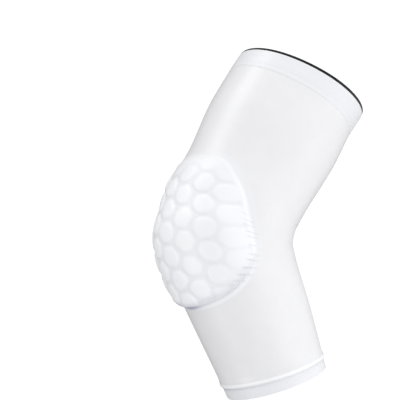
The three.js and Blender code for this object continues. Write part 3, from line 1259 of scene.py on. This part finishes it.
    def build(self, finish: StretchKnit) -> bpy.types.Object:
        """Moulds the pad's face on a disc of fine quads and closes it with a plain foot.

        Args:
            finish: The facing.

        Returns:
            The piece.
        """
        mesh = bmesh.new()
        bmesh.ops.create_grid(mesh, x_segments=self.segments, y_segments=self.segments, size=1.0)
        cloth = mesh.loops.layers.uv.new("cloth")
        # The second UV map and the vertex layer below carry the facing's colour share and its painted shade.
        pressed = mesh.loops.layers.uv.new("press")
        flat = mesh.verts.layers.float_vector.new("flat")
        press = mesh.verts.layers.float.new("press")
        for vert in mesh.verts:
            vert[flat] = self.flat_place(vert.co.x, vert.co.y)
            moved = self.overhung(vert[flat])
            height, vert[press] = self.surface(vert[flat].x, vert[flat].y)
            vert.co = self.place(moved.x, moved.y, height)
        rim = [edge for edge in mesh.edges if edge.is_boundary]
        for ring in range(1, self.foot_rings + 1):
            made = bmesh.ops.extrude_edge_only(mesh, edges=rim)["geom"]
            share = (self.foot_rings - ring) / (self.foot_rings - ring + 1)
            for vert in (item for item in made if isinstance(item, bmesh.types.BMVert)):
                vert[flat] = vert[flat] * share
                vert.co = self.place(vert[flat].x, vert[flat].y, -self.foot_depth)
            rim = [item for item in made if isinstance(item, bmesh.types.BMEdge)]
        bmesh.ops.remove_doubles(mesh, verts=mesh.verts, dist=1e-7)
        for face in mesh.faces:
            face.smooth = True
            for loop in face.loops:
                loop[cloth].uv = loop.vert[flat].xy
                loop[pressed].uv = (self.covered(loop.vert[flat].x, loop.vert[flat].y), loop.vert[press])
        bmesh.ops.recalc_face_normals(mesh, faces=mesh.faces)
        piece = finish_piece(mesh, "foam_pad", finish.material())
        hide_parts("honeycomb_pad")
        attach(piece, BODY)
        return piece


@dataclass
class StitchRow:
    """A row of lockstitches round the sleeve."""

    name: str
    runs: tuple[float, ...]
    out: float
    stitch: float = 2.6 * MM
    gap: float = 0.55 * MM
    thread: float = 0.32 * MM
    girth: float = 300 * MM
    sides: int = 6
    steps: int = 5

    def build(self, finish: SpunThread) -> bpy.types.Object:
        """Lays one short bowed length of thread for each stitch.

        Args:
            finish: The thread.

        Returns:
            The piece, all its stitches in one mesh.
        """
        mesh = bmesh.new()
        for run in self.runs:
            count = round(self.girth / self.stitch)
            for i in range(count):
                self._stitch(mesh, run, i / count * FULL_TURN, FULL_TURN / count)
        # Each thread is drawn out of the back of its first end, so all its faces point in until they are turned.
        bmesh.ops.reverse_faces(mesh, faces=mesh.faces)
        piece = finish_piece(mesh, self.name, finish.material())
        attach(piece, BODY)
        return piece

    def _stitch(self, mesh: bmesh.types.BMesh, run: float, start: float, span: float) -> None:
        """Adds one stitch, a length of thread that dives into the cloth at both ends.

        Args:
            mesh: The mesh that takes it.
            run: The row's distance along the centreline.
            start: Angle round the sleeve where it starts.
            span: Angle from its start to the next one's.
        """
        end = bmesh.ops.create_circle(mesh, cap_ends=True, segments=self.sides, radius=self.thread / 2)["verts"]
        for vert in end:
            vert.co.z = -0.5
        ring = list({edge for vert in end for edge in vert.link_edges})
        verts = list(end)
        for step in range(1, self.steps + 1):
            made = bmesh.ops.extrude_edge_only(mesh, edges=ring)["geom"]
            level = [item for item in made if isinstance(item, bmesh.types.BMVert)]
            for vert in level:
                vert.co.z = step / self.steps - 0.5
            verts += level
            ring = [item for item in made if isinstance(item, bmesh.types.BMEdge)]
        bmesh.ops.contextual_create(mesh, geom=ring)
        share = 1 - self.gap / self.stitch
        for vert in verts:
            place = vert.co.z + 0.5
            bow = math.sin(math.pi * place)
            angle = start + span * share * place
            thin = mix(0.55, 1.0, bow)
            out = self.out + self.thread * (0.55 * bow - 0.45) + vert.co.y * thin
            vert.co = FORM.point(run + vert.co.x * thin, angle, out)
        for face in {f for v in verts for f in v.link_faces}:
            face.smooth = True


# Stage


def seen_from(turn: float, rise: float) -> Vector:
    """Direction from the sleeve to something round it.

    Args:
        turn: Degrees round from -Y toward +X.
        rise: Degrees up.

    Returns:
        The direction, of length 1.
    """
    around, up = math.radians(turn), math.radians(rise)
    return Vector((math.sin(around) * math.cos(up), -math.cos(around) * math.cos(up), math.sin(up)))


@dataclass
class Softbox:
    """One soft light, placed round the sleeve as the camera sees it, in degrees.

    One that is for gloss only puts its soft shine on the cloth and no other light.
    """

    name: str
    turn: float
    rise: float
    power: float
    gloss_only: bool = False
    distance: float = 1.6
    width: float = 0.5
    tall: float = 0.9

    def build(self, camera_turn: float) -> None:
        """Adds the light, facing the sleeve's middle.

        Args:
            camera_turn: Degrees that the camera stands round the sleeve.
        """
        light = bpy.data.lights.new(self.name, "AREA")
        light.shape = "RECTANGLE"
        light.size = self.width
        light.size_y = self.tall
        light.energy = self.power
        lamp = bpy.data.objects.new(self.name, light)
        lamp.visible_diffuse = not self.gloss_only
        bpy.context.scene.collection.objects.link(lamp)
        back = seen_from(camera_turn + self.turn, self.rise)
        lamp.location = back * self.distance
        lamp.rotation_euler = back.to_track_quat("Z", "Y").to_euler()


@dataclass
class Studio:
    """Camera, lights and seamless paper."""

    camera_turn: float = -35.0
    camera_rise: float = -1.45
    distance: float = 2.4
    frame_width: float = 320 * MM
    sensor: float = 36.0
    aim_right: float = -26.7 * MM
    aim_up: float = 23.9 * MM
    floor_height: float = -0.62
    paper_reach: float = 8.0
    ambient: float = 0.99
    from_right: float = 0.19
    from_above: float = 0.03

    def build_camera(self) -> None:
        """Places the camera at the photograph's angle."""
        back = seen_from(self.camera_turn, self.camera_rise)
        right = seen_from(self.camera_turn + 90, 0)
        above = back.cross(right)
        data = bpy.data.cameras.new("camera")
        data.sensor_width = self.sensor
        data.lens = self.sensor * self.distance / self.frame_width
        camera = bpy.data.objects.new("camera", data)
        bpy.context.scene.collection.objects.link(camera)
        camera.location = back * self.distance
        aim = right * self.aim_right + above * self.aim_up
        camera.rotation_euler = (aim - camera.location).to_track_quat("-Z", "Y").to_euler()
        bpy.context.scene.camera = camera

    def build_paper(self) -> None:
        """Hangs a dome of paper far round the sleeve and lays a floor of it below. They throw no light on it."""
        finish = StudioPaper().material()
        floor = bmesh.new()
        bmesh.ops.create_grid(floor, x_segments=1, y_segments=1, size=self.paper_reach)
        bmesh.ops.translate(floor, verts=floor.verts, vec=(0, 0, self.floor_height))
        dome = bmesh.new()
        bmesh.ops.create_icosphere(dome, subdivisions=3, radius=self.paper_reach)
        bmesh.ops.reverse_faces(dome, faces=dome.faces)
        for paper in (finish_piece(floor, "paper_floor", finish), finish_piece(dome, "paper_dome", finish)):
            paper.visible_diffuse = False
            paper.visible_glossy = False
            paper.visible_shadow = False
            paper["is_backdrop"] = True

    def build_lights(self) -> None:
        """Sets a high and a weak low softbox on each side, in a surround that is a little brighter at the right."""
        world = bpy.data.worlds.new("surround")
        world.use_nodes = True
        bpy.context.scene.world = world
        world.cycles_visibility.glossy = False
        tree = world.node_tree
        turn = math.radians(self.camera_turn)
        bright = (self.from_right * math.cos(turn), self.from_right * math.sin(turn), self.from_above)
        toward = add_node(tree, "ShaderNodeTexCoord").outputs["Generated"]
        share = add_node(tree, "ShaderNodeVectorMath", {"operation": "DOT_PRODUCT"}, in_0=toward, in_1=bright)
        brightness = {"in_0": share.outputs["Value"], "in_1": self.ambient, "in_2": self.ambient}
        strength = add_node(tree, "ShaderNodeMath", {"operation": "MULTIPLY_ADD"}, **brightness)
        surround = tree.nodes["Background"]
        surround.inputs["Color"].default_value = (0.99, 0.99, 1.0, 1.0)
        tree.links.new(strength.outputs[0], surround.inputs["Strength"])
        for box in (
            Softbox("high_left_softbox", turn=-72, rise=55, power=4.0),
            Softbox("high_right_softbox", turn=110, rise=55, power=4.8),
            Softbox("low_right_softbox", turn=74, rise=-25, power=2.0),
            Softbox("low_left_softbox", turn=-46, rise=-28, power=3.2, gloss_only=True),
        ):
            box.build(self.camera_turn)

    def build(self) -> None:
        """Builds the whole stage."""
        scene = bpy.context.scene
        scene.view_settings.view_transform = "Standard"
        scene.view_settings.look = "None"
        self.build_camera()
        self.build_paper()
        self.build_lights()


def corners(bounds: tuple[Vector, Vector]) -> list[list[float]]:
    """Lowest and highest corner as plain lists."""
    return [list(corner) for corner in bounds]


def main() -> None:
    """Builds the sleeve's pieces in order, then the stage."""
    logging.basicConfig(level=logging.INFO, format="%(name)s: %(message)s")
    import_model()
    cad_box = corners(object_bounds())
    knit = StretchKnit("white_stretch_knit")
    # The hem's own colour is its rim colour; the whiter colour and shade show only as the painted highlight on the
    # lower hem's ridge.
    hem_knit = StretchKnit(
        "white_hem_knit", colour="ffffff", shade="fdfdff", roughness=0.38, rim_colour="edeef1"
    )
    facing = StretchKnit(
        "white_pad_facing",
        colour="fdfeff",
        shade="fafcff",
        roughness=0.42,
        wale_mm=0.5,
        rim_colour="eeeff1",
    )
    body = SleeveBody()
    tube = body.build(knit)
    hems = [
        FoldedHem(
            "hem_at_upper_mouth",
            "upper_hem",
            Mouth.UPPER,
            FORM.upper_hem_height,
            proud=0.25 * MM,
            start_out=-0.15 * MM,
            ridge_proud=0.25 * MM,
            needle_rows=UPPER_NEEDLES,
        ).build(hem_knit),
        FoldedHem(
            "hem_at_lower_mouth",
            "lower_hem",
            Mouth.LOWER,
            FORM.lower_hem_height,
            proud=0.1 * MM,
            start_out=0.55 * MM,
            ridge_proud=1.15 * MM,
            needle_rows=(LOWER_NEEDLE,),
            ridge_height=3.6 * MM,
        ).build(hem_knit),
    ]
    band = GripBand().build(WovenElastic())
    HoneycombPad().build(facing)
    thread = SpunThread()
    upper_runs = tuple(FORM.upper_seam + row for row in UPPER_NEEDLES)
    lower_runs = (-FORM.lower_seam - LOWER_NEEDLE,)
    stitches = [
        StitchRow("upper_hem_stitches", upper_runs, out=0.1 * MM, girth=336 * MM).build(thread),
        StitchRow("lower_hem_stitches", lower_runs, out=-0.08 * MM, girth=255 * MM).build(thread),
    ]
    Studio().build()
    {"cad": cad_box, "visual": corners(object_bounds())}


if __name__ == "__main__":
    main()
